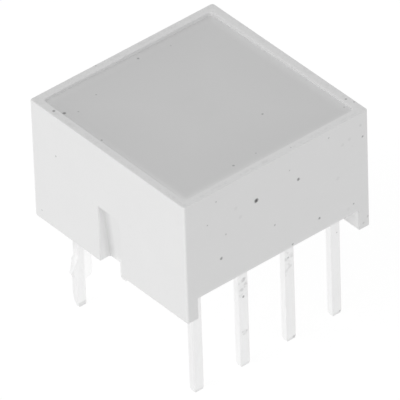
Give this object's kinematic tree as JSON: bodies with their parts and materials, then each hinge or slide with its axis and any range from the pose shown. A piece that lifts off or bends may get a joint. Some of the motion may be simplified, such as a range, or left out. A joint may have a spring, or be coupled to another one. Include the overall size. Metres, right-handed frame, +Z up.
{
  "type": "led light bar display",
  "caption": "Square white through-hole LED light bar with a flat diffusing window on top, standoff feet, a keyway notch and two rows of flat leads underneath.",
  "frame": {"origin": "centre of the plane of the lead tips, under the middle of the case", "axes": "+Z up to the emitting window, X along the two rows of leads with the notched end wall at -X, Y across the rows with lead 1 at -X -Y"},
  "size_m": [0.01, 0.01, 0.0109],
  "materials": {
    "white_case": "fine satin white moulded plastic",
    "diffusing_epoxy": "milky grey-white cast epoxy, semi-gloss",
    "tinned_lead": "bright dipped tin",
    "emitter_chip": "sawn semiconductor",
    "silver_adhesive": "matt silver-filled adhesive",
    "gold_wire": "bright drawn wire"
  },
  "bodies": {
    "root": {"housing": "white_case", "encapsulant": "diffusing_epoxy", "lead_1": "tinned_lead", "lead_2": "tinned_lead", "lead_3": "tinned_lead", "lead_4": "tinned_lead", "lead_5": "tinned_lead", "lead_6": "tinned_lead", "lead_7": "tinned_lead", "lead_8": "tinned_lead", "led_die_a": "emitter_chip", "led_die_b": "emitter_chip", "led_die_c": "emitter_chip", "led_die_d": "emitter_chip", "die_attach_a": "silver_adhesive", "die_attach_b": "silver_adhesive", "die_attach_c": "silver_adhesive", "die_attach_d": "silver_adhesive", "bond_wire_a": "gold_wire", "bond_wire_b": "gold_wire", "bond_wire_c": "gold_wire", "bond_wire_d": "gold_wire"}
  },
  "joints": []
}
